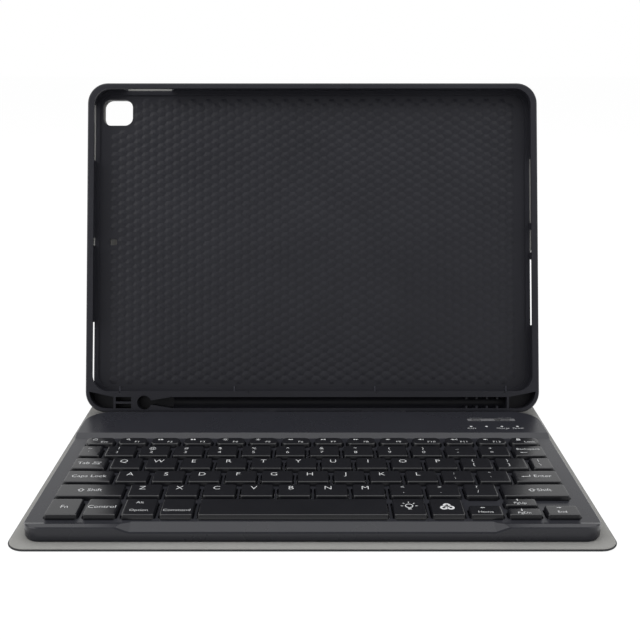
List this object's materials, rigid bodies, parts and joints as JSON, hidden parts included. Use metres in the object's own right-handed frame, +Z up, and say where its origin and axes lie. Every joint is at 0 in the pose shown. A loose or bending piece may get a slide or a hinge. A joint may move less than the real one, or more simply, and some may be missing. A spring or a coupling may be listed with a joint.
{
  "type": "tablet keyboard case",
  "caption": "Folio case with a soft tray that holds a tablet leaning back, a lift-off backlit keyboard on its front cover, and a back that folds into a prop.",
  "frame": {"origin": "middle of the case's footprint, on the surface that it stands on", "axes": "+X along the case's width to the user's right, +Y from the keyboard to the tray, +Z up"},
  "size_m": [0.2586, 0.2226, 0.1833],
  "materials": {
    "cover_leather": "fine grained, matt",
    "stiff_board": "plain",
    "lining_fabric": "brushed microfibre",
    "magnet": "plated",
    "adhesive_film": "clear film",
    "tray_rubber": "satin",
    "case_plastic": "satin",
    "clear_plastic": "clear",
    "plate_metal": "mill",
    "dome_rubber": "matt",
    "circuit_board": "lacquered",
    "battery_pouch": "foil",
    "socket_steel": "plated",
    "bezel_plastic": "satin",
    "indicator_plastic": "frosted",
    "control_plastic": "satin",
    "key_plastic": "satin"
  },
  "bodies": {
    "front_cover": {"front_cover_skin": "cover_leather", "front_cover_board": "stiff_board", "front_cover_lining": "lining_fabric", "front_cover_magnets": "magnet"},
    "spine": {"front_fold": "cover_leather", "spine_skin": "cover_leather", "spine_board": "stiff_board", "spine_lining": "lining_fabric"},
    "lower_back": {"rear_fold": "cover_leather", "lower_back_skin": "cover_leather", "lower_back_board": "stiff_board", "lower_back_lining": "lining_fabric"},
    "upper_back": {"upper_fold": "cover_leather", "upper_back_skin": "cover_leather", "upper_back_board": "stiff_board", "upper_back_lining": "lining_fabric", "tray_adhesive": "adhesive_film", "tablet_tray": "tray_rubber"},
    "keyboard": {"keyboard_top_case": "case_plastic", "keyboard_bottom_case": "case_plastic", "light_guide": "clear_plastic", "support_plate": "plate_metal", "membrane": "clear_plastic", "rubber_domes": "dome_rubber", "circuit_board": "circuit_board", "battery": "battery_pouch", "charge_socket": "socket_steel", "keyboard_magnets": "magnet", "switch_bezel": "bezel_plastic", "indicator_lights": "indicator_plastic"},
    "power_switch": {"power_switch": "control_plastic"},
    "pair_button": {"pair_button": "control_plastic"},
    "function_row_keys": {"function_row_keys": "key_plastic"},
    "number_row_keys": {"number_row_keys": "key_plastic"},
    "key_backspace": {"key_backspace": "key_plastic"},
    "key_tab": {"key_tab": "key_plastic"},
    "upper_letter_keys": {"upper_letter_keys": "key_plastic"},
    "key_caps_lock": {"key_caps_lock": "key_plastic"},
    "home_letter_keys": {"home_letter_keys": "key_plastic"},
    "key_enter": {"key_enter": "key_plastic"},
    "key_left_shift": {"key_left_shift": "key_plastic"},
    "lower_letter_keys": {"lower_letter_keys": "key_plastic"},
    "key_right_shift": {"key_right_shift": "key_plastic"},
    "key_fn": {"key_fn": "key_plastic"},
    "key_control": {"key_control": "key_plastic"},
    "key_option": {"key_option": "key_plastic"},
    "key_command": {"key_command": "key_plastic"},
    "key_space": {"key_space": "key_plastic"},
    "key_backlight": {"key_backlight": "key_plastic"},
    "key_colour": {"key_colour": "key_plastic"},
    "key_left": {"key_left": "key_plastic"},
    "key_up": {"key_up": "key_plastic"},
    "key_down": {"key_down": "key_plastic"},
    "key_right": {"key_right": "key_plastic"}
  },
  "joints": [
    {"name": "front_fold_bend", "type": "hinge", "parent": "front_cover", "child": "spine", "pos_m": [0, 0.08465, 0.00075], "axis": [1, 0, 0], "range_deg": [-60, 0], "deforming": ["front_fold"]},
    {"name": "rear_fold_bend", "type": "hinge", "parent": "spine", "child": "lower_back", "pos_m": [0, 0.11065, 0.00075], "axis": [1, 0, 0], "range_deg": [-109.8, 0], "deforming": ["rear_fold"]},
    {"name": "upper_fold_bend", "type": "hinge", "parent": "lower_back", "child": "upper_back", "pos_m": [0, 0.074, 0.10214], "axis": [1, 0, 0], "range_deg": [0, 38.06], "deforming": ["upper_fold"]},
    {"name": "keyboard_lift", "type": "slide", "parent": "front_cover", "child": "keyboard", "axis": [0, 0, 1], "range_m": [0, 0.05]},
    {"name": "power_switch_slide", "type": "slide", "parent": "keyboard", "child": "power_switch", "axis": [-1, 0, 0], "range_m": [0, 0.003]},
    {"name": "pair_button_press", "type": "slide", "parent": "keyboard", "child": "pair_button", "axis": [0, 0, -1], "range_m": [0, 0.0005], "stiffness_N_per_m": 400},
    {"name": "function_row_keys_press", "type": "slide", "parent": "keyboard", "child": "function_row_keys", "axis": [0, 0, -1], "range_m": [0, 0.0015], "stiffness_N_per_m": 350, "deforming": ["rubber_domes"]},
    {"name": "number_row_keys_press", "type": "slide", "parent": "keyboard", "child": "number_row_keys", "axis": [0, 0, -1], "range_m": [0, 0.0015], "stiffness_N_per_m": 350},
    {"name": "key_backspace_press", "type": "slide", "parent": "keyboard", "child": "key_backspace", "axis": [0, 0, -1], "range_m": [0, 0.0015], "stiffness_N_per_m": 350},
    {"name": "key_tab_press", "type": "slide", "parent": "keyboard", "child": "key_tab", "axis": [0, 0, -1], "range_m": [0, 0.0015], "stiffness_N_per_m": 350},
    {"name": "upper_letter_keys_press", "type": "slide", "parent": "keyboard", "child": "upper_letter_keys", "axis": [0, 0, -1], "range_m": [0, 0.0015], "stiffness_N_per_m": 350},
    {"name": "key_caps_lock_press", "type": "slide", "parent": "keyboard", "child": "key_caps_lock", "axis": [0, 0, -1], "range_m": [0, 0.0015], "stiffness_N_per_m": 350},
    {"name": "home_letter_keys_press", "type": "slide", "parent": "keyboard", "child": "home_letter_keys", "axis": [0, 0, -1], "range_m": [0, 0.0015], "stiffness_N_per_m": 350},
    {"name": "key_enter_press", "type": "slide", "parent": "keyboard", "child": "key_enter", "axis": [0, 0, -1], "range_m": [0, 0.0015], "stiffness_N_per_m": 350},
    {"name": "key_left_shift_press", "type": "slide", "parent": "keyboard", "child": "key_left_shift", "axis": [0, 0, -1], "range_m": [0, 0.0015], "stiffness_N_per_m": 350},
    {"name": "lower_letter_keys_press", "type": "slide", "parent": "keyboard", "child": "lower_letter_keys", "axis": [0, 0, -1], "range_m": [0, 0.0015], "stiffness_N_per_m": 350},
    {"name": "key_right_shift_press", "type": "slide", "parent": "keyboard", "child": "key_right_shift", "axis": [0, 0, -1], "range_m": [0, 0.0015], "stiffness_N_per_m": 350},
    {"name": "key_fn_press", "type": "slide", "parent": "keyboard", "child": "key_fn", "axis": [0, 0, -1], "range_m": [0, 0.0015], "stiffness_N_per_m": 350},
    {"name": "key_control_press", "type": "slide", "parent": "keyboard", "child": "key_control", "axis": [0, 0, -1], "range_m": [0, 0.0015], "stiffness_N_per_m": 350},
    {"name": "key_option_press", "type": "slide", "parent": "keyboard", "child": "key_option", "axis": [0, 0, -1], "range_m": [0, 0.0015], "stiffness_N_per_m": 350},
    {"name": "key_command_press", "type": "slide", "parent": "keyboard", "child": "key_command", "axis": [0, 0, -1], "range_m": [0, 0.0015], "stiffness_N_per_m": 350},
    {"name": "key_space_press", "type": "slide", "parent": "keyboard", "child": "key_space", "axis": [0, 0, -1], "range_m": [0, 0.0015], "stiffness_N_per_m": 350},
    {"name": "key_backlight_press", "type": "slide", "parent": "keyboard", "child": "key_backlight", "axis": [0, 0, -1], "range_m": [0, 0.0015], "stiffness_N_per_m": 350},
    {"name": "key_colour_press", "type": "slide", "parent": "keyboard", "child": "key_colour", "axis": [0, 0, -1], "range_m": [0, 0.0015], "stiffness_N_per_m": 350},
    {"name": "key_left_press", "type": "slide", "parent": "keyboard", "child": "key_left", "axis": [0, 0, -1], "range_m": [0, 0.0015], "stiffness_N_per_m": 350},
    {"name": "key_up_press", "type": "slide", "parent": "keyboard", "child": "key_up", "axis": [0, 0, -1], "range_m": [0, 0.0015], "stiffness_N_per_m": 350},
    {"name": "key_down_press", "type": "slide", "parent": "keyboard", "child": "key_down", "axis": [0, 0, -1], "range_m": [0, 0.0015], "stiffness_N_per_m": 350},
    {"name": "key_right_press", "type": "slide", "parent": "keyboard", "child": "key_right", "axis": [0, 0, -1], "range_m": [0, 0.0015], "stiffness_N_per_m": 350}
  ],
  "couplings": [
    {"joint": "upper_fold_bend", "follows": "rear_fold_bend", "ratio": -0.34653}
  ]
}
